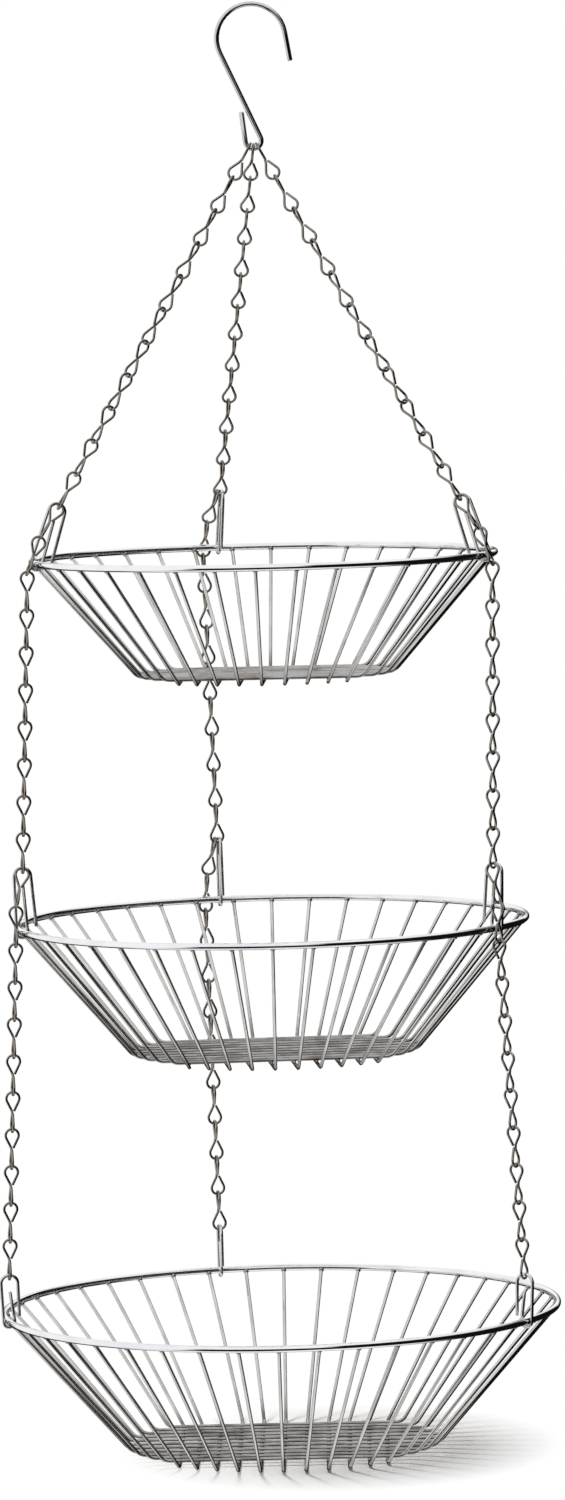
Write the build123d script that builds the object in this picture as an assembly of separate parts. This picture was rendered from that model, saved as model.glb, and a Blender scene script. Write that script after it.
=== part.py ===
from build123d import *
import os
from math import asin, atan2, cos, degrees, pi, radians, sin, sqrt

# Three-tier hanging basket of round wire, in millimetres.
# The origin is the inside top of the S-hook's upper bend, where the hook sits on what holds it.
# +Z is up, +X is to the right and +Y is to the back. Angles about Z count from +X towards +Y.

# S-hook
hook_wire = 2.7
hook_bend_radius = 18.5
hook_open_leg = 16.0
hook_open_flare = 9.5
hook_shank_lean = 24.5
hook_eye_radius = 4.3
hook_eye_leg = 16.3
hook_eye_lean = 6.5
eye_side_step = 3.0

# Chain: figure-eight links, one loop turned square to the other
link_wire = 1.4
link_inside_length = 20.3
link_loop_width = 8.5
link_leg_overlap = 0.45
link_leg_gap = 0.1
link_play = 0.15
upper_links = 11
passing_links = 2
middle_links = 8
lower_links = 9

# Rim clips: a three-legged bent wire, wide at the top, with the rim in the bend at its foot
clip_wire = 1.8
clip_reach = 33.0
clip_top_radius = 4.6
clip_seat_play = 0.3
clip_free_end_drop = 7.5
clip_free_end_offset = 0.3
clip_tail_flare = 7.8
clip_tail_rise = 2.8
hanger_reach = 24.0
hanger_tail_flare = 5.6

# What hangs in the foot of one loop: a clip alone, or a clip and the next link side by side
hang_gap = 0.45
clip_side_offset = 1.0
pass_side_offset = 1.3

# Baskets, from the top one down
rim_wire = 3.7
cage_wire = 1.9
cage_bend_radius = 6.0
weld_gap = 0.1
rim_diameters = [254.0, 279.4, 304.8]
base_radii = [70.0, 78.0, 85.5]
depths = [66.0, 73.0, 77.0]
wires_each_way = [9, 10, 11]
basket_turns = [-2.0, 4.5, -0.7]

# Where the three chains meet each rim, as angles about Z, and how far each clip leans in
sides = ["left", "right", "back"]
stations = {
    "left": [193.0, 192.5, 192.0],
    "right": [-19.0, -30.0, -29.5],
    "back": [102.0, 102.5, 103.0],
}
clip_leans = [23.4, 1.7, 1.7]

# The places of the three chains in the hook's eye, side by side along its wire
eye_place_shares = {"left": -1, "right": 1, "back": 0}

# How a chain passes a rim: beside the clip, outside the rim, bowed out over it
passing_side_shares = {"left": 1, "right": -1, "back": 1}
passing_side_steps = [5.2, 6.4]
passing_stand_offs = [4.5, 3.2]
passing_bow = 2.2

# How far a wire's volume may be off its section times its length
volume_share = 0.002

# Worked out from the sizes above
quarter_turn = degrees(pi / 2)
half_turn = degrees(pi)
last_tier = len(rim_diameters) - 1
link_centre_radius = (link_loop_width - link_wire) / 2
link_foot_radius = link_centre_radius - link_wire / 2
link_half_waist = (link_wire + link_leg_gap) / 2
link_pitch = link_inside_length - link_play
clip_seat_radius = rim_wire / 2 + clip_seat_play + clip_wire / 2
rim_radii = [(diameter - rim_wire) / 2 for diameter in rim_diameters]

# The hook's shank leaves the wide bend and meets the eye at the lean given
hook_bend_z = hook_wire / 2 - hook_bend_radius
hook_eye_z = hook_bend_z - (hook_bend_radius + hook_eye_radius) / sin(radians(hook_shank_lean))
eye_floor_z = hook_eye_z - hook_eye_radius + hook_wire / 2


def along(angle, radius, height=0.0):
    """A point at an angle about Z, a radius from the axis and a height."""
    return Vector(radius * cos(radians(angle)), radius * sin(radians(angle)), height)


def sideways(angle, reach=1.0):
    """A level step square to the direction of an angle about Z."""
    return Vector(-reach * sin(radians(angle)), reach * cos(radians(angle)), 0)


def tube(path, wire):
    """A round wire along a path, checked against its section times its length."""
    section = Plane(origin=path @ 0, z_dir=path % 0) * Circle(wire / 2)
    body = sweep(section, path=path)
    expected = pi * wire**2 / 4 * path.length
    if abs(body.volume / expected - 1) > volume_share:
        print("wire volume is off by", round(body.volume / expected - 1, 5))
    return body


def touch(stop, heading):
    """Where a wire with this heading touches the bend at a stop."""
    reach = stop[2] * stop[3]
    return Vector(stop[0] + reach * sin(heading), 0, stop[1] - reach * cos(heading))


def bent_wire(stops, wire):
    """A wire bent in its local XZ plane round a row of stops.

    A stop is x, z, the bend's radius on the wire's centre line and its sense,
    1 for counterclockwise and -1 for clockwise. The first and last stops have no radius.
    """
    headings = []
    for first, second in zip(stops, stops[1:]):
        run = sqrt((second[0] - first[0]) ** 2 + (second[1] - first[1]) ** 2)
        aim = atan2(second[1] - first[1], second[0] - first[0])
        headings.append(aim - asin((second[2] * second[3] - first[2] * first[3]) / run))
    edges = []
    for index, heading in enumerate(headings):
        leave = touch(stops[index], heading)
        arrive = touch(stops[index + 1], heading)
        edges.append(Edge.make_line(leave, arrive))
        if index + 1 < len(headings):
            stop = stops[index + 1]
            turn = headings[index + 1] - heading
            while turn * stop[3] < 0:
                turn += 2 * pi * stop[3]
            halfway = touch(stop, heading + turn / 2)
            after = touch(stop, heading + turn)
            edges.append(Edge.make_three_point_arc(arrive, halfway, after))
    return tube(Wire(edges), wire)


def placed(piece, at, across, up):
    """A local piece with its origin at a point, its x along across and its z along up."""
    return Plane(origin=at, x_dir=across, z_dir=up).location * piece


def spaced(start, end, count):
    """Evenly spaced points from start to end, for a count of links."""
    return [start + (end - start) * (step / count) for step in range(count + 1)]


def hook():
    """The S-hook: a flared open leg, the wide bend, the shank and a small eye at the foot."""
    flare = radians(hook_open_flare)
    end_x = hook_bend_radius * cos(flare) + hook_open_leg * sin(flare)
    end_z = hook_bend_z + hook_bend_radius * sin(flare) - hook_open_leg * cos(flare)
    lean = radians(hook_eye_lean)
    tip_x = -hook_eye_radius * cos(lean) - hook_eye_leg * sin(lean)
    tip_z = hook_eye_z - hook_eye_radius * sin(lean) + hook_eye_leg * cos(lean)
    return bent_wire(
        [
            (end_x, end_z, 0, 0),
            (0, hook_bend_z, hook_bend_radius, 1),
            (0, hook_eye_z, hook_eye_radius, -1),
            (tip_x, tip_z, 0, 0),
        ],
        hook_wire,
    )


def link():
    """One chain link, hanging from its inside top at the origin."""
    top_z = -link_foot_radius
    foot_z = link_foot_radius - link_inside_length
    waist_z = -link_inside_length / 2
    upper = bent_wire(
        [
            (link_half_waist, waist_z - link_leg_overlap, 0, 0),
            (0, top_z, link_centre_radius, 1),
            (-link_half_waist, waist_z - link_leg_overlap, 0, 0),
        ],
        link_wire,
    )
    lower = bent_wire(
        [
            (link_half_waist, waist_z + link_leg_overlap, 0, 0),
            (0, foot_z, link_centre_radius, -1),
            (-link_half_waist, waist_z + link_leg_overlap, 0, 0),
        ],
        link_wire,
    )
    return upper + Rot(Z=quarter_turn) * lower


one_link = link()


def chain(points, turns):
    """Links hung one in another: each from one point to the next, turned about its length."""
    links = []
    for start, end, turn in zip(points, points[1:], turns):
        links.append(placed(one_link, start, along(turn, 1), start - end))
    return Compound(children=links)


def hung_rise(offset, wire):
    """How far a wire hung in a loop, to one side of its middle, lies above the loop's foot."""
    room = link_foot_radius - wire / 2
    return room - sqrt((room - hang_gap) ** 2 - offset**2)


def clip(tier):
    """A rim clip with its origin at the rim's centre and its inside top above it."""
    if tier == last_tier:
        reach = hanger_reach
        flare = hanger_tail_flare
        inside_top = reach + hung_rise(0, clip_wire)
    else:
        reach = clip_reach
        flare = clip_tail_flare
        inside_top = reach + hung_rise(clip_side_offset, clip_wire)
    return bent_wire(
        [
            (-clip_free_end_offset, reach - clip_free_end_drop, 0, 0),
            (0, 0, clip_seat_radius, 1),
            (0, inside_top - clip_top_radius + clip_wire / 2, clip_top_radius, 1),
            (-flare, clip_tail_rise, 0, 0),
        ],
        clip_wire,
    )


def rim(tier):
    """The rim ring of a basket, round wire closed on itself."""
    return Pos(0, 0, rim_z[tier]) * Torus(rim_radii[tier], rim_wire / 2)


def cage_layer(tier, across_turn, base_z):
    """One layer of a basket's cage: wires down the slope, across the bottom and up again."""
    wires = []
    count = wires_each_way[tier]
    for index in range(count):
        angle = (index - (count - 1) / 2) * quarter_turn / count
        near = along(angle, base_radii[tier], base_z)
        rim_point = along(angle, rim_radii[tier], rim_z[tier])
        slope = (near - rim_point).normalized()
        top = rim_point + slope * (rim_wire / 2 + weld_gap)
        far = Vector(-near.X, near.Y, near.Z)
        far_top = Vector(-top.X, top.Y, top.Z)
        path = FilletPolyline(top, near, far, far_top, radius=cage_bend_radius)
        wires.append(Rot(Z=basket_turns[tier] + across_turn) * tube(path, cage_wire))
    return Compound(children=wires)


def clip_foot(tier, side):
    """The rim's centre under a clip, which hangs to one side where a link hangs beside it."""
    station = stations[side][tier]
    offset = 0 if tier == last_tier else -passing_side_shares[side] * clip_side_offset
    return along(station, rim_radii[tier], rim_z[tier]) + sideways(station, offset)


def joint_point(tier, side):
    """The foot of the last link above a clip, where the clip hangs."""
    reach = hanger_reach if tier == last_tier else clip_reach
    lean = radians(clip_leans[tier])
    radius = rim_radii[tier] - reach * sin(lean)
    return along(stations[side][tier], radius, rim_z[tier] + reach * cos(lean))


def passing_points(tier, side):
    """The top, the bend and the foot of the two links that pass a rim on the outside."""
    station = stations[side][tier]
    turn = passing_side_shares[side]
    lean = radians(clip_leans[tier])
    start_radius = rim_radii[tier] - clip_reach * sin(lean)
    start_z = clip_reach * cos(lean)
    end_radius = rim_diameters[tier] / 2 + passing_stand_offs[tier]
    half = sqrt(link_pitch**2 - passing_bow**2)
    step = end_radius - start_radius
    drop = sqrt((2 * half) ** 2 - step**2 - passing_side_steps[1] ** 2)
    end_z = start_z - drop
    bend_radius = (start_radius + end_radius) / 2 + passing_bow * drop / (2 * half)
    bend_z = (start_z + end_z) / 2 + passing_bow * step / (2 * half)
    top_z = rim_z[tier] + start_z + hung_rise(pass_side_offset, link_wire)
    top = along(station, start_radius, top_z) + sideways(station, turn * pass_side_offset)
    bend = along(station, bend_radius, rim_z[tier] + bend_z)
    bend += sideways(station, turn * passing_side_steps[0])
    foot = along(station, end_radius, rim_z[tier] + end_z)
    foot += sideways(station, turn * passing_side_steps[1])
    return [top, bend, foot]


def upper_points(side):
    """The points of an upper chain, from the hook's eye to its clip.

    The first link's top lies square over the hook's wire, whichever way the chain leans.
    """
    offset = eye_place_shares[side] * eye_side_step
    rise = sqrt(hook_eye_radius**2 - offset**2)
    seat = Vector(offset, 0, hook_eye_z - rise)
    wire_way = Vector(rise, 0, offset).normalized()
    end = joint_point(0, side)
    down = (end - seat).normalized()
    over = (wire_way * down.dot(wire_way) - down).normalized()
    start = seat + over * (hook_wire / 2 + link_play + link_wire / 2) + down * (link_wire / 2)
    return spaced(start, end, upper_links)


def upper_turns(side):
    """The links' turns: square to the hook's wire at the top, facing the clip at the foot."""
    first = quarter_turn
    last = stations[side][0]
    while last - first > quarter_turn:
        last -= half_turn
    while last - first < -quarter_turn:
        last += half_turn
    return [first + (last - first) * step / (upper_links - 1) for step in range(upper_links)]


def swing_points(tier, side, count):
    """The points of the chain that swings from below one rim to the next basket's clip."""
    return spaced(passing_points(tier, side)[2], joint_point(tier + 1, side), count)


def swing_turns(tier, side, count):
    """The turns of a swinging chain's links, from one station to the next."""
    first = stations[side][tier]
    last = stations[side][tier + 1]
    return [first + (last - first) * step / count for step in range(count)]


# Heights: the upper chain's length sets the first rim, and each chain below sets the next
top_lean = radians(clip_leans[0])
upper_run = upper_links * link_pitch
upper_out = rim_radii[0] - clip_reach * sin(top_lean)
upper_drop = sqrt(upper_run**2 - upper_out**2)
rim_z = [eye_floor_z + link_play - upper_drop - clip_reach * cos(top_lean)]
for tier, count in enumerate([middle_links, lower_links]):
    below = tier + 1
    foot = passing_points(tier, "left")[2]
    reach = hanger_reach if below == last_tier else clip_reach
    below_lean = radians(clip_leans[below])
    hang_radius = rim_radii[below] - reach * sin(below_lean)
    swing = (along(stations["left"][below], hang_radius) - Vector(foot.X, foot.Y, 0)).length
    drop = sqrt((count * link_pitch) ** 2 - swing**2)
    rim_z.append(foot.Z - drop - reach * cos(below_lean))

# The nodes, from the hook down
tiers = ["top", "middle", "bottom"]
nodes = {"s_hook": hook()}
for side in sides:
    nodes[f"upper_chain_{side}"] = chain(upper_points(side), upper_turns(side))
for tier, name in enumerate(tiers):
    nodes[f"{name}_rim"] = rim(tier)
    lower_z = rim_z[tier] - depths[tier] + cage_wire / 2
    upper_z = lower_z + cage_wire + weld_gap
    nodes[f"{name}_cross_wires"] = cage_layer(tier, 0, upper_z)
    nodes[f"{name}_depth_wires"] = cage_layer(tier, quarter_turn, lower_z)
    for side in sides:
        station = stations[side][tier]
        lean = radians(clip_leans[tier])
        up = along(station, -sin(lean), cos(lean))
        nodes[f"{name}_clip_{side}"] = placed(clip(tier), clip_foot(tier, side), along(station, 1), up)
for tier, (name, count) in enumerate([("middle", middle_links), ("lower", lower_links)]):
    for side in sides:
        passing = chain(passing_points(tier, side), [stations[side][tier]] * passing_links)
        nodes[f"{tiers[tier]}_passing_links_{side}"] = passing
        swinging = chain(swing_points(tier, side, count), swing_turns(tier, side, count))
        nodes[f"{name}_chain_{side}"] = swinging

os.makedirs("parts", exist_ok=True)
for name, piece in nodes.items():
    export_step(piece, f"parts/{name}.step")

print("rim heights", [round(z, 2) for z in rim_z])
print("overall height", round(hook_wire - rim_z[last_tier] + depths[last_tier], 1))
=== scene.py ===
"""Three-tier hanging basket of chromed wire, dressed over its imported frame, in metres."""
from math import asin, atan2, ceil, cos, pi, radians, sin, sqrt, tan

import bmesh
import bpy
from mathutils import Matrix, Vector


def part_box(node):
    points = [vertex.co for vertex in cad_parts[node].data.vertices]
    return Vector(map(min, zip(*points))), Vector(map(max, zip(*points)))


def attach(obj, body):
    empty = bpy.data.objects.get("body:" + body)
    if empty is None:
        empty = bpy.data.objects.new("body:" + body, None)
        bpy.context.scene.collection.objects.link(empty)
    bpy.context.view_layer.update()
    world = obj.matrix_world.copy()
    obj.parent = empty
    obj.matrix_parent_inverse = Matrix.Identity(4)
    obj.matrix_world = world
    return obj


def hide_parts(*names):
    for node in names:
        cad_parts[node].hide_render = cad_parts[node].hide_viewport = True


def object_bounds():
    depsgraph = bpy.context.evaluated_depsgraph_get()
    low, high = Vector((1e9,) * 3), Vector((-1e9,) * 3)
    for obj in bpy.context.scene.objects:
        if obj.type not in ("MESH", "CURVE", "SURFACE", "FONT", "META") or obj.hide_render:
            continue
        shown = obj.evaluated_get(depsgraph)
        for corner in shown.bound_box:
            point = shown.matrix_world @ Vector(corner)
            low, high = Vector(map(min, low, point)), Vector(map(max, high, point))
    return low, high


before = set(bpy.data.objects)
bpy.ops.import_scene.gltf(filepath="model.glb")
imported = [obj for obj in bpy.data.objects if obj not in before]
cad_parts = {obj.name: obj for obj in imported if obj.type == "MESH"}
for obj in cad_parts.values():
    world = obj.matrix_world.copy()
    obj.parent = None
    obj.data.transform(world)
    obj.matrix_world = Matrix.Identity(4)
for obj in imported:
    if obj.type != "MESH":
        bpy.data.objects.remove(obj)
cad_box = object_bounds()

# Camera, fitted to the three rims
camera_back = 3.9957
camera_height = -0.1105
camera_focus_pixels = 7392.1
camera_sensor = 36.0
camera_reach = 100
photo_height = 1500
camera_pitch = 4.167
camera_yaw = 0.113
camera_roll = -1.371

# S-hook
hook_wire = 0.0027
hook_bend_radius = 0.0185
hook_open_leg = 0.016
hook_open_flare = 9.5
hook_shank_lean = 24.5
hook_eye_radius = 0.0043
hook_eye_leg = 0.0163
hook_eye_lean = 6.5
eye_side_step = 0.003

# Chain links
link_wire = 0.0014
link_inside_length = 0.0203
link_loop_width = 0.0085
link_half_waist = 0.00075
link_cross_rise = 0.0012
link_cross_bend = 0.0013
link_end_rise = 0.0003
link_play = 0.00015
upper_links = 11
passing_links = 2
middle_links = 8
lower_links = 9

# Rim clips
clip_wire = 0.0018
clip_reach = 0.033
clip_top_radius = 0.0046
clip_seat_play = 0.0003
clip_free_end_drop = 0.0075
clip_free_end_offset = 0.0003
clip_tail_flare = 0.0078
clip_tail_rise = 0.0028
hanger_reach = 0.024
hanger_tail_flare = 0.0056
hang_gap = 0.00045
clip_side_offset = 0.001
pass_side_offset = 0.0013

# Baskets, from the top one down
rim_wire = 0.0037
cage_wire = 0.0019
cage_bend_radius = 0.006
weld_gap = 0.0001
rim_diameters = [0.254, 0.2794, 0.3048]
base_radii = [0.070, 0.078, 0.0855]
depths = [0.066, 0.073, 0.077]
wires_each_way = [9, 10, 11]
basket_turns = [-2.0, 4.5, -0.7]

# Where the chains meet the rims
sides = ["left", "right", "back"]
stations = {
    "left": [193.0, 192.5, 192.0],
    "right": [-19.0, -30.0, -29.5],
    "back": [102.0, 102.5, 103.0],
}
clip_leans = [23.4, 1.7, 1.7]
eye_place_shares = {"left": -1, "right": 1, "back": 0}
passing_side_shares = {"left": 1, "right": -1, "back": 1}
passing_side_steps = [0.0052, 0.0064]
passing_stand_offs = [0.0045, 0.0032]
passing_bow = 0.0022

# Weld beads: where wires cross and where they meet the rim
cross_bead_width = 0.0026
cross_bead_height = 0.0010
rim_bead_width = 0.0031
rim_bead_height = 0.0024
bead_around = 10
bead_up = 5

# Finishes: the bright and the dull metal, then the polish, the haze and the depth of the pits
hook_chrome = (0.60, 0.605, 0.62), (0.44, 0.44, 0.45), 0.03, 0.03, 0.05
rim_chrome = (0.84, 0.85, 0.87), (0.70, 0.71, 0.74), 0.04, 0.04, 0.06
clip_chrome = (0.66, 0.66, 0.66), (0.50, 0.49, 0.48), 0.06, 0.06, 0.08
chain_plate = (0.29, 0.265, 0.24), (0.15, 0.125, 0.10), 0.05, 0.05, 0.10
cage_chrome = (0.64, 0.63, 0.62), (0.40, 0.375, 0.35), 0.04, 0.04, 0.07
weld_metal = (0.46, 0.42, 0.38), (0.28, 0.24, 0.20), 0.22, 0.14, 0.4

# Patterns on the metal: patches to the metre, detail and its roughness
cloud_pattern = 55, 3, 0.55
grain_pattern = 900, 2, 0.6
speck_pattern = 2600, 1, 0.5

# Where the patterns begin and end, how much each one counts, and how deep a pit is
cloud_limits = 0.42, 0.68
speck_limits = 0.66, 0.78
dull_cloud_share = 0.6
dull_speck_share = 0.4
grain_haze_share = 0.5
speck_haze_share = 2
grain_pit_share = 0.7
speck_pit_share = 0.3
pit_depth = 0.00005

# Painted shade: how far up from the base the cage is darkened brown, and how evenly
painted_shade_colour = (0.055, 0.040, 0.030, 1)
painted_shade_height = 0.012
painted_shade_even_share = 0.55
painted_shade_cloud_share = 0.45

# How finely round shapes are divided
rim_sides = 20
rim_steps = 288
hook_sides = 24
clip_sides = 16
cage_sides = 14
link_sides = 12
bend_step = radians(11)
bend_parts = 4
end_bevel_share = 0.3
end_bevel_steps = 2
tiny = 1e-7

# Angles and places that belong to no single piece
quarter_turn = 90
half_turn = 180
last_tier = len(rim_diameters) - 1
right_way = Vector((1, 0, 0))
back_way = Vector((0, 1, 0))
up_way = Vector((0, 0, 1))

# Worked out from the sizes above
link_centre_radius = (link_loop_width - link_wire) / 2
link_foot_radius = link_centre_radius - link_wire / 2
link_pitch = link_inside_length - link_play
clip_seat_radius = rim_wire / 2 + clip_seat_play + clip_wire / 2
rim_radii = [(diameter - rim_wire) / 2 for diameter in rim_diameters]
hook_bend_z = hook_wire / 2 - hook_bend_radius
hook_eye_z = hook_bend_z - (hook_bend_radius + hook_eye_radius) / sin(radians(hook_shank_lean))
tiers = ["top", "middle", "bottom"]
tier_bodies = ["top_tier", "middle_tier", "bottom_tier"]
rim_z = [(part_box(f"{name}_rim")[0].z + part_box(f"{name}_rim")[1].z) / 2 for name in tiers]
basket_foot_z = [height - depth for height, depth in zip(rim_z, depths)]


# Camera
def set_camera():
    """The camera of the photograph, turned by its pitch, yaw and roll."""
    data = bpy.data.cameras.new("camera")
    data.sensor_width = camera_sensor
    data.lens = camera_focus_pixels / photo_height * camera_sensor
    data.clip_end = camera_reach
    camera = bpy.data.objects.new("camera", data)
    bpy.context.scene.collection.objects.link(camera)
    yaw = Matrix.Rotation(-radians(camera_yaw), 4, "Z")
    pitch = Matrix.Rotation(radians(quarter_turn - camera_pitch), 4, "X")
    roll = Matrix.Rotation(radians(camera_roll), 4, "Z")
    place = Matrix.Translation((0, -camera_back, camera_height))
    camera.matrix_world = place @ yaw @ pitch @ roll
    bpy.context.scene.camera = camera


set_camera()
bpy.context.scene.view_settings.view_transform = "Standard"


# Materials
class Value:
    """A socket of a material that takes part in sums, each of which adds its Math node."""

    def __init__(self, tree, socket=None):
        self.tree = tree
        self.socket = socket

    def node(self, kind, settings, sockets, output=0):
        """Any node: its settings first, then the values or links of its sockets."""
        made = self.tree.nodes.new(kind)
        for name, value in settings.items():
            setattr(made, name, value)
        for name, value in sockets.items():
            if isinstance(value, Value):
                self.tree.links.new(value.socket, made.inputs[name])
            else:
                made.inputs[name].default_value = value
        return Value(self.tree, made.outputs[output] if made.outputs else None)

    def maths(self, operation, first, second):
        """A Math node on two values."""
        return self.node("ShaderNodeMath", {"operation": operation}, {0: first, 1: second})

    def __add__(self, other):
        return self.maths("ADD", self, other)

    def __radd__(self, other):
        return self.maths("ADD", other, self)

    def __sub__(self, other):
        return self.maths("SUBTRACT", self, other)

    def __rsub__(self, other):
        return self.maths("SUBTRACT", other, self)

    def __mul__(self, other):
        return self.maths("MULTIPLY", self, other)

    def __rmul__(self, other):
        return self.maths("MULTIPLY", other, self)


def blank(name, kind):
    """A new material or world with an empty node tree."""
    made = kind.new(name)
    made.use_nodes = True
    made.node_tree.nodes.clear()
    return made, Value(made.node_tree)


def noise(at, scale, detail, roughness):
    """A soft random pattern, from 0 to 1, with a number of patches to the metre."""
    sockets = {"Vector": at, "Scale": scale, "Detail": detail, "Roughness": roughness}
    return at.node("ShaderNodeTexNoise", {}, sockets)


def between(value, low, high):
    """How far a value lies between two limits, from 0 to 1."""
    sockets = {"Value": value, "From Min": low, "From Max": high}
    return value.node("ShaderNodeMapRange", {"clamp": True}, sockets)


def greater(first, second):
    """The greater of two values."""
    return first.maths("MAXIMUM", first, second)


def split(at, axis):
    """One coordinate of a place or direction."""
    return at.node("ShaderNodeSeparateXYZ", {}, {"Vector": at}, axis)


def shade_between(factor, first, second):
    """A colour between two others."""
    sockets = {"Factor": factor, "A": first, "B": second}
    return factor.node("ShaderNodeMix", {"data_type": "RGBA"}, sockets, 2)


def plated(name, bright, dull, polish, haze, pits, foot=None):
    """Plated wire: bright metal with clouded patches, a fine grain, specks and shallow pits.

    Where a foot is given, painted shade darkens the metal brown at the foot and fades out a little
    way up.
    """
    material, empty = blank(name, bpy.data.materials)
    at = empty.node("ShaderNodeTexCoord", {}, {}, "Object")
    grain = noise(at, *grain_pattern)
    specks = noise(at, *speck_pattern)
    clouded = between(noise(at, *cloud_pattern), *cloud_limits)
    speckled = between(specks, *speck_limits)
    dulled = clouded * dull_cloud_share + speckled * dull_speck_share
    colour = shade_between(dulled, (*bright, 1), (*dull, 1))
    # Painted shade: the cage is darkened brown towards its foot, in uneven patches
    if foot is not None:
        low = 1 - between(split(at, "Z"), foot, foot + painted_shade_height)
        painted_shade_mask = low * (painted_shade_even_share + clouded * painted_shade_cloud_share)
        colour = shade_between(painted_shade_mask, colour, painted_shade_colour)
    fine_haze = grain * (haze * grain_haze_share) + speckled * (haze * speck_haze_share)
    roughness = polish + clouded * haze + fine_haze
    height = grain * grain_pit_share + specks * speck_pit_share
    sockets = {"Strength": pits, "Distance": pit_depth, "Height": height}
    bump = empty.node("ShaderNodeBump", {}, sockets)
    sockets = {"Base Color": colour, "Metallic": 1.0, "Roughness": roughness, "Normal": bump}
    shader = empty.node("ShaderNodeBsdfPrincipled", {}, sockets)
    empty.node("ShaderNodeOutputMaterial", {}, {"Surface": shader})
    return material


finishes = {
    "hook_wire": plated("hook chrome", *hook_chrome),
    "rim_wire": plated("rim chrome", *rim_chrome),
    "clip_wire": plated("clip chrome", *clip_chrome),
    "chain_wire": plated("chain plate", *chain_plate),
}
# Each tier's cage chrome carries painted shade, darker towards its foot
cage_finish_and_shade = [
    plated(f"cage chrome {name}", *cage_chrome, foot) for name, foot in zip(tiers, basket_foot_z)
]
weld_finish = plated("weld metal", *weld_metal)


# Wire, bent as it is in the workshop: fed out straight and turned round its bends
def flat_route(stops, across, up):
    """Corners of a wire that lies in one plane, each a point and its bend's radius.

    A stop is its place across and up, its bend's radius and its sense, 1 for counterclockwise.
    """
    headings = []
    for first, second in zip(stops, stops[1:]):
        run = sqrt((second[0] - first[0]) ** 2 + (second[1] - first[1]) ** 2)
        aim = atan2(second[1] - first[1], second[0] - first[0])
        headings.append(aim - asin((second[2] * second[3] - first[2] * first[3]) / run))
    route = []
    for index, (x, z, radius, sense) in enumerate(stops):
        centre = across * x + up * z
        if radius == 0:
            route.append((centre, 0))
            continue
        turn = headings[index] - headings[index - 1]
        while turn * sense < 0:
            turn += 2 * pi * sense
        reach = radius / cos(turn / bend_parts / 2)
        for part in range(bend_parts):
            angle = headings[index - 1] - sense * pi / 2 + turn * (part + 0.5) / bend_parts
            route.append((centre + (across * cos(angle) + up * sin(angle)) * reach, radius))
    return route


def facing(way, axis):
    """The turn that points an axis in a direction."""
    return way.to_track_quat(axis, "Y").to_matrix().to_4x4()


def ring_edges(ring):
    """The edges that join the points of a ring."""
    inside = set(ring)
    edges = dict.fromkeys(edge for point in ring for edge in point.link_edges)
    return [edge for edge in edges if inside.issuperset(edge.verts)]


def feed(mesh, ring, step):
    """Draws the wire's open end out by a step."""
    out = bmesh.ops.extrude_edge_only(mesh, edges=ring_edges(ring))["geom"]
    moved = [item for item in out if isinstance(item, bmesh.types.BMVert)]
    bmesh.ops.translate(mesh, verts=moved, vec=step)
    return moved


def bend(mesh, ring, centre, axis, angle):
    """Turns the wire's open end round a centre."""
    steps = max(1, ceil(angle / bend_step))
    geometry = ring + ring_edges(ring)
    out = bmesh.ops.spin(mesh, geom=geometry, cent=centre, axis=axis, angle=angle, steps=steps)
    return [item for item in out["geom_last"] if isinstance(item, bmesh.types.BMVert)]


def drawn_wire(route, thickness, around):
    """A round wire along a route of corners, with rounded ends."""
    mesh = bmesh.new()
    points = [point for point, radius in route]
    at = points[0]
    heading = (points[1] - at).normalized()
    place = Matrix.Translation(at) @ facing(heading, "Z")
    begun = bmesh.ops.create_circle(mesh, segments=around, radius=thickness / 2, matrix=place)
    ring = begun["verts"]
    first = list(ring)
    for index in range(1, len(points) - 1):
        corner = points[index]
        radius = route[index][1]
        onward = (points[index + 1] - corner).normalized()
        angle = heading.angle(onward)
        cut = radius * tan(angle / 2)
        run = (corner - at).dot(heading) - cut
        if run > tiny:
            ring = feed(mesh, ring, heading * run)
        at = corner - heading * cut
        axis = heading.cross(onward).normalized()
        ring = bend(mesh, ring, at + axis.cross(heading) * radius, axis, angle)
        at = corner + onward * cut
        heading = onward
    ring = feed(mesh, ring, points[-1] - at)
    ends = [ring_edges(first), ring_edges(ring)]
    for end in ends:
        bmesh.ops.contextual_create(mesh, geom=end)
    bmesh.ops.bevel(
        mesh,
        geom=ends[0] + ends[1],
        offset=thickness * end_bevel_share,
        segments=end_bevel_steps,
        profile=0.5,
        affect="EDGES",
        material=-1,
    )
    bmesh.ops.recalc_face_normals(mesh, faces=mesh.faces)
    return to_data(mesh, "wire")


def to_data(mesh, name):
    """Ends a bmesh as mesh data with smooth faces."""
    for face in mesh.faces:
        face.smooth = True
    data = bpy.data.meshes.new(name)
    mesh.to_mesh(data)
    mesh.free()
    return data


def add_copies(mesh, data, places):
    """Adds a drawn shape to a piece, once at each place."""
    for place in places:
        before = len(mesh.verts)
        mesh.from_mesh(data)
        mesh.verts.ensure_lookup_table()
        bmesh.ops.transform(mesh, matrix=place, verts=mesh.verts[before:])


def finish_piece(mesh, name, body, slot, material, *nodes):
    """Turns drawn wire into a piece that rides on its body and stands for its frame nodes."""
    data = to_data(mesh, name)
    data.materials.append(material)
    piece = bpy.data.objects.new(name, data)
    bpy.context.scene.collection.objects.link(piece)
    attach(piece, body)
    if nodes:
        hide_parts(*nodes)
    return piece


# Places, as the frame has them
def along(angle, radius, height=0.0):
    """A point at an angle about Z, a radius from the axis and a height."""
    return Vector((radius * cos(radians(angle)), radius * sin(radians(angle)), height))


def sideways(angle, reach):
    """A level step square to the direction of an angle about Z."""
    return Vector((-reach * sin(radians(angle)), reach * cos(radians(angle)), 0))


def placing(at, across, up):
    """A place whose own z lies along up, and whose x leans as far as it can to across."""
    own_z = up.normalized()
    own_x = (across - own_z * across.dot(own_z)).normalized()
    own_y = own_z.cross(own_x)
    turned = Matrix((own_x, own_y, own_z)).transposed().to_4x4()
    return Matrix.Translation(at) @ turned


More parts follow.
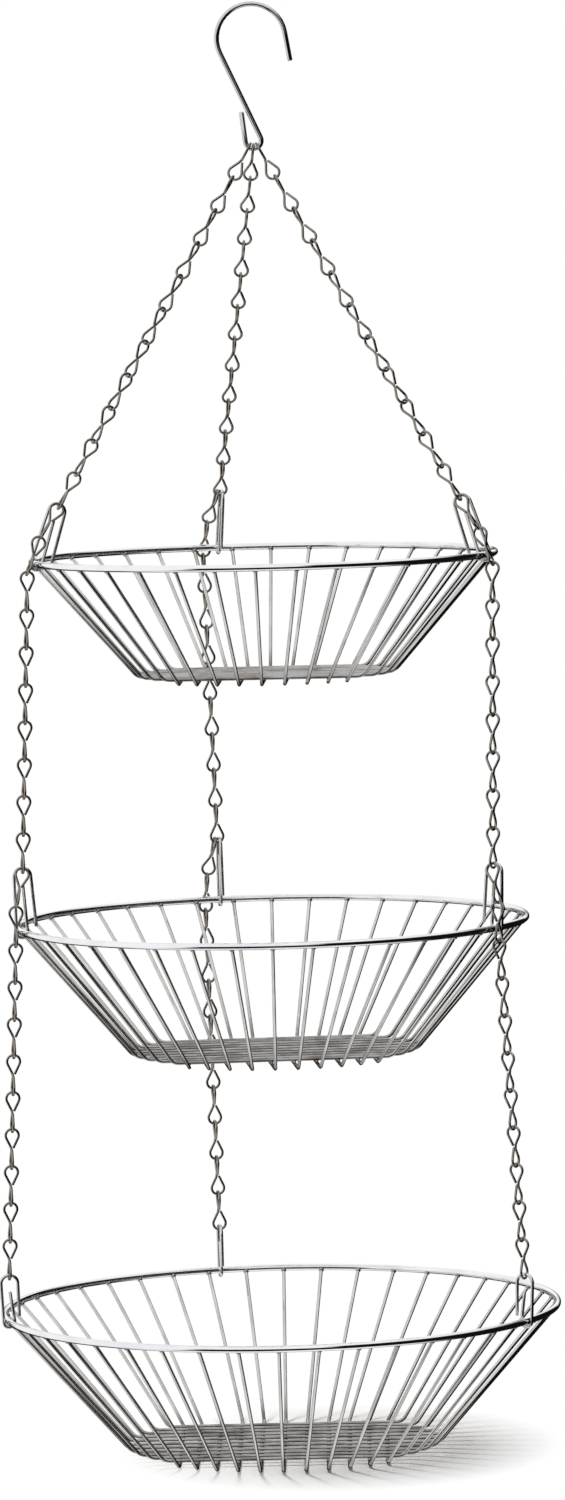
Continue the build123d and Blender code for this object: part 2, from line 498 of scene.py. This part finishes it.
def spaced(start, end, count):
    """Evenly spaced points from start to end, for a count of links."""
    return [start + (end - start) * (step / count) for step in range(count + 1)]


def hung_rise(offset, wire):
    """How far a wire hung in a loop, to one side of its middle, lies above the loop's foot."""
    room = link_foot_radius - wire / 2
    return room - sqrt((room - hang_gap) ** 2 - offset**2)


def joint_point(tier, side):
    """The foot of the last link above a clip, where the clip hangs."""
    reach = hanger_reach if tier == last_tier else clip_reach
    lean = radians(clip_leans[tier])
    radius = rim_radii[tier] - reach * sin(lean)
    return along(stations[side][tier], radius, rim_z[tier] + reach * cos(lean))


def passing_points(tier, side):
    """The top, the bend and the foot of the two links that pass a rim on the outside."""
    station = stations[side][tier]
    turn = passing_side_shares[side]
    lean = radians(clip_leans[tier])
    start_radius = rim_radii[tier] - clip_reach * sin(lean)
    start_z = clip_reach * cos(lean)
    end_radius = rim_diameters[tier] / 2 + passing_stand_offs[tier]
    half = sqrt(link_pitch**2 - passing_bow**2)
    step = end_radius - start_radius
    drop = sqrt((2 * half) ** 2 - step**2 - passing_side_steps[1] ** 2)
    end_z = start_z - drop
    bend_radius = (start_radius + end_radius) / 2 + passing_bow * drop / (2 * half)
    bend_z = (start_z + end_z) / 2 + passing_bow * step / (2 * half)
    top_z = rim_z[tier] + start_z + hung_rise(pass_side_offset, link_wire)
    top = along(station, start_radius, top_z) + sideways(station, turn * pass_side_offset)
    bent = along(station, bend_radius, rim_z[tier] + bend_z)
    bent += sideways(station, turn * passing_side_steps[0])
    foot = along(station, end_radius, rim_z[tier] + end_z)
    foot += sideways(station, turn * passing_side_steps[1])
    return [top, bent, foot]


def upper_points(side):
    """The points of an upper chain, from the hook's eye to its clip."""
    offset = eye_place_shares[side] * eye_side_step
    rise = sqrt(hook_eye_radius**2 - offset**2)
    seat = Vector((offset, 0, hook_eye_z - rise))
    wire_way = Vector((rise, 0, offset)).normalized()
    end = joint_point(0, side)
    down = (end - seat).normalized()
    over = (wire_way * down.dot(wire_way) - down).normalized()
    start = seat + over * (hook_wire / 2 + link_play + link_wire / 2) + down * (link_wire / 2)
    return spaced(start, end, upper_links)


def upper_turns(side):
    """The links' turns: square to the hook's wire at the top, facing the clip at the foot."""
    first = quarter_turn
    last = stations[side][0]
    while last - first > quarter_turn:
        last -= half_turn
    while last - first < -quarter_turn:
        last += half_turn
    return [first + (last - first) * step / (upper_links - 1) for step in range(upper_links)]


# S-hook
def hook_route():
    """The flared open leg, the wide bend, the shank and the small eye."""
    flare = radians(hook_open_flare)
    end_x = hook_bend_radius * cos(flare) + hook_open_leg * sin(flare)
    end_z = hook_bend_z + hook_bend_radius * sin(flare) - hook_open_leg * cos(flare)
    lean = radians(hook_eye_lean)
    tip_x = -hook_eye_radius * cos(lean) - hook_eye_leg * sin(lean)
    tip_z = hook_eye_z - hook_eye_radius * sin(lean) + hook_eye_leg * cos(lean)
    stops = [
        (end_x, end_z, 0, 0),
        (0, hook_bend_z, hook_bend_radius, 1),
        (0, hook_eye_z, hook_eye_radius, -1),
        (tip_x, tip_z, 0, 0),
    ]
    return flat_route(stops, right_way, up_way)


mesh = bmesh.new()
add_copies(mesh, drawn_wire(hook_route(), hook_wire, hook_sides), [Matrix()])
finish_piece(mesh, "s_hook_wire", "hook", "hook_wire", finishes["hook_wire"], "s_hook")


# Chains
def link_route():
    """One wire: round the upper loop, across the waist and round the lower loop, square to it."""
    waist_z = -link_inside_length / 2
    upper = flat_route(
        [
            (-link_half_waist, waist_z + link_end_rise, 0, 0),
            (0, -link_foot_radius, link_centre_radius, -1),
            (link_half_waist, waist_z + link_cross_rise, 0, 0),
        ],
        right_way,
        up_way,
    )
    lower = flat_route(
        [
            (link_half_waist, waist_z - link_cross_rise, 0, 0),
            (0, link_foot_radius - link_inside_length, link_centre_radius, -1),
            (-link_half_waist, waist_z - link_end_rise, 0, 0),
        ],
        back_way,
        up_way,
    )
    upper[-1] = (upper[-1][0], link_cross_bend)
    lower[0] = (lower[0][0], link_cross_bend)
    return upper + lower


one_link = drawn_wire(link_route(), link_wire, link_sides)


def add_chain(name, body, points, turns):
    """Links hung one in another: each from one point to the next, turned about its length."""
    mesh = bmesh.new()
    runs = zip(points, points[1:], turns)
    places = [placing(start, along(turn, 1), start - end) for start, end, turn in runs]
    add_copies(mesh, one_link, places)
    finish_piece(mesh, name + "_wire", body, "chain_wire", finishes["chain_wire"], name)


for side in sides:
    add_chain(f"upper_chain_{side}", "top_tier", upper_points(side), upper_turns(side))
for tier, (name, count) in enumerate([("middle", middle_links), ("lower", lower_links)]):
    for side in sides:
        points = passing_points(tier, side)
        first = stations[side][tier]
        last = stations[side][tier + 1]
        passing = f"{tiers[tier]}_passing_links_{side}"
        add_chain(passing, tier_bodies[tier], points, [first] * passing_links)
        swinging = f"{name}_chain_{side}"
        turns = [first + (last - first) * step / count for step in range(count)]
        run = spaced(points[2], joint_point(tier + 1, side), count)
        add_chain(swinging, swinging, run, turns)


# Rim clips
def clip_route(tier):
    """The free leg, the bend round the rim, the outer leg, the wide top and the flared tail."""
    bottom = tier == last_tier
    reach = hanger_reach if bottom else clip_reach
    flare = hanger_tail_flare if bottom else clip_tail_flare
    inside_top = reach + hung_rise(0 if bottom else clip_side_offset, clip_wire)
    stops = [
        (-clip_free_end_offset, reach - clip_free_end_drop, 0, 0),
        (0, 0, clip_seat_radius, 1),
        (0, inside_top - clip_top_radius + clip_wire / 2, clip_top_radius, 1),
        (-flare, clip_tail_rise, 0, 0),
    ]
    return flat_route(stops, right_way, up_way)


def clip_place(tier, side):
    """Where a clip holds its rim, a little to one side where a link hangs beside it."""
    station = stations[side][tier]
    offset = 0 if tier == last_tier else -passing_side_shares[side] * clip_side_offset
    foot = along(station, rim_radii[tier], rim_z[tier]) + sideways(station, offset)
    lean = radians(clip_leans[tier])
    return placing(foot, along(station, 1), along(station, -sin(lean), cos(lean)))


for tier, name in enumerate(tiers):
    one_clip = drawn_wire(clip_route(tier), clip_wire, clip_sides)
    for side in sides:
        mesh = bmesh.new()
        add_copies(mesh, one_clip, [clip_place(tier, side)])
        node = f"{name}_clip_{side}"
        body = tier_bodies[tier]
        finish_piece(mesh, node + "_wire", body, "clip_wire", finishes["clip_wire"], node)


# Baskets
def add_rim(tier):
    """The rim ring, thick wire closed on itself."""
    mesh = bmesh.new()
    place = Matrix.Translation((rim_radii[tier], 0, rim_z[tier]))
    stood = place @ Matrix.Rotation(radians(quarter_turn), 4, "X")
    begun = bmesh.ops.create_circle(mesh, segments=rim_sides, radius=rim_wire / 2, matrix=stood)
    ring = begun["verts"]
    bmesh.ops.spin(
        mesh,
        geom=ring + ring_edges(ring),
        cent=(0, 0, rim_z[tier]),
        axis=up_way,
        angle=2 * pi,
        steps=rim_steps,
        use_merge=True,
    )
    bmesh.ops.recalc_face_normals(mesh, faces=mesh.faces)
    node = f"{tiers[tier]}_rim"
    finish_piece(mesh, node + "_wire", tier_bodies[tier], "rim_wire", finishes["rim_wire"], node)


def cage_route(tier, index, base_z):
    """One wire down the slope, across the flat bottom and up the other side."""
    count = wires_each_way[tier]
    angle = (index - (count - 1) / 2) * quarter_turn / count
    near = along(angle, base_radii[tier], base_z)
    rim_point = along(angle, rim_radii[tier], rim_z[tier])
    slope = (near - rim_point).normalized()
    top = rim_point + slope * (rim_wire / 2 + weld_gap)
    far = Vector((-near.x, near.y, near.z))
    far_top = Vector((-top.x, top.y, top.z))
    return [(top, 0), (near, cage_bend_radius), (far, cage_bend_radius), (far_top, 0)]


def drawn_bead(width, height):
    """A small flattened bead of weld metal."""
    mesh = bmesh.new()
    shape = Matrix.Diagonal((width / 2, width / 2, height / 2, 1))
    bmesh.ops.create_uvsphere(
        mesh, u_segments=bead_around, v_segments=bead_up, radius=1, matrix=shape
    )
    return to_data(mesh, "bead")


def add_basket(tier):
    """Two crossed layers of wires with their weld beads, under the rim."""
    body = tier_bodies[tier]
    lower_z = basket_foot_z[tier] + cage_wire / 2
    upper_z = lower_z + cage_wire + weld_gap
    middle_z = (lower_z + upper_z) / 2
    rows = {}
    rim_places = []
    for layer, across_turn, base_z in (("cross", 0, upper_z), ("depth", quarter_turn, lower_z)):
        mesh = bmesh.new()
        turned = Matrix.Rotation(radians(basket_turns[tier] + across_turn), 4, "Z")
        rows[layer] = []
        for index in range(wires_each_way[tier]):
            route = cage_route(tier, index, base_z)
            add_copies(mesh, drawn_wire(route, cage_wire, cage_sides), [turned])
            top, near, far, far_top = [point for point, radius in route]
            rows[layer].append(near.y)
            for end, corner in ((top, near), (far_top, far)):
                rim_places.append(turned @ Matrix.Translation(end) @ facing(corner - end, "Z"))
        node = f"{tiers[tier]}_{layer}_wires"
        finish_piece(mesh, node + "_wire", body, "cage_wire", cage_finish_and_shade[tier], node)
    turned = Matrix.Rotation(radians(basket_turns[tier]), 4, "Z")
    spots = [(-x, y, middle_z) for y in rows["cross"] for x in rows["depth"]]
    crossings = [turned @ Matrix.Translation(spot) for spot in spots]
    beads = bmesh.new()
    add_copies(beads, drawn_bead(cross_bead_width, cross_bead_height), crossings)
    add_copies(beads, drawn_bead(rim_bead_width, rim_bead_height), rim_places)
    finish_piece(beads, f"{tiers[tier]}_weld_beads", body, "cage_wire", weld_finish)


for tier in range(len(tiers)):
    add_rim(tier)
    add_basket(tier)


# Floor: how far under the basket it lies, and where it turns plain white
plain_white = (1, 1, 1, 1)
floor_gap = 0.0008
floor_size = 12.0
floor_white = (0.93, 0.925, 0.92, 1)
white_centre = (0.03, 0, 0)
white_shares = (1, 0.85, 0)
white_limits = 0.07, 0.12

# Surroundings: brightness, and the heights and sides at which their edges are soft
dome_light = 0.26
room_shine = 1.05
dark_room_shine = 0.006
dome_edge = 0.52, 0.68
below_edge = -0.16, -0.04
table_edge = 0.78, 0.88
left_edge = 0.52, 0.64
right_edge = 0.26, 0.40

# Lamps: place, size, power and colour
lamp_aim = Vector((0, 0, -0.5))
lamps = {
    "key": (Vector((-0.6, 0.45, 1.5)), 0.36, 46, (1, 0.985, 0.965)),
    "fill": (Vector((1.4, -1.2, 0.3)), 1.2, 5, (0.97, 0.98, 1)),
}


def add_floor():
    """A pale table that keeps the bottom basket's shadow and turns plain white further out."""
    mesh = bmesh.new()
    level = Matrix.Translation((0, 0, cad_box[0][2] - floor_gap))
    bmesh.ops.create_grid(mesh, x_segments=1, y_segments=1, size=floor_size, matrix=level)
    data = to_data(mesh, "floor")
    material, empty = blank("pale floor", bpy.data.materials)
    at = empty.node("ShaderNodeTexCoord", {}, {}, "Object")
    beside = at.node("ShaderNodeVectorMath", {"operation": "SUBTRACT"}, {0: at, 1: white_centre})
    flat = at.node("ShaderNodeVectorMath", {"operation": "MULTIPLY"}, {0: beside, 1: white_shares})
    reach = at.node("ShaderNodeVectorMath", {"operation": "LENGTH"}, {0: flat}, "Value")
    away = between(reach, *white_limits)
    camera_ray = empty.node("ShaderNodeLightPath", {}, {}, "Is Camera Ray")
    pale = empty.node("ShaderNodeBsdfDiffuse", {}, {"Color": floor_white})
    white = empty.node("ShaderNodeEmission", {}, {"Color": plain_white, "Strength": 1.0})
    shown = empty.node("ShaderNodeMixShader", {}, {0: camera_ray * away, 1: pale, 2: white})
    empty.node("ShaderNodeOutputMaterial", {}, {"Surface": shown})
    data.materials.append(material)
    floor = bpy.data.objects.new("floor", data)
    floor.visible_glossy = False
    bpy.context.scene.collection.objects.link(floor)


def add_lamp(name, place, size, power, colour):
    """A square soft box that faces the middle of the basket."""
    data = bpy.data.lights.new(name, "AREA")
    data.shape = "SQUARE"
    data.size = size
    data.energy = power
    data.color = colour
    lamp = bpy.data.objects.new(name, data)
    lamp.visible_glossy = False
    bpy.context.scene.collection.objects.link(lamp)
    lamp.matrix_world = Matrix.Translation(place) @ facing(lamp_aim - place, "-Z")


def set_surroundings():
    """A white studio. The metal also mirrors a dark room, beyond the table and on the right."""
    world, empty = blank("studio", bpy.data.worlds)
    bpy.context.scene.world = world
    way = empty.node("ShaderNodeTexCoord", {}, {}, "Generated")
    height = split(way, "Z")
    ceiling = between(height, *dome_edge)
    side = split(way, "X")
    room = between(0 - height, *below_edge) * (1 - between(0 - side, *left_edge))
    room = greater(room, between(side, *right_edge) * (1 - ceiling))
    dark = room * (1 - between(0 - height, *table_edge))
    shine = room_shine - dark * (room_shine - dark_room_shine)
    glossy_ray = empty.node("ShaderNodeLightPath", {}, {}, "Is Glossy Ray")
    camera_ray = empty.node("ShaderNodeLightPath", {}, {}, "Is Camera Ray")
    seen = glossy_ray * shine + (1 - glossy_ray) * ceiling * dome_light
    strength = camera_ray + (1 - camera_ray) * seen
    light = empty.node("ShaderNodeBackground", {}, {"Color": plain_white, "Strength": strength})
    empty.node("ShaderNodeOutputWorld", {}, {"Surface": light})


add_floor()
set_surroundings()
for name, settings in lamps.items():
    add_lamp(name, *settings)
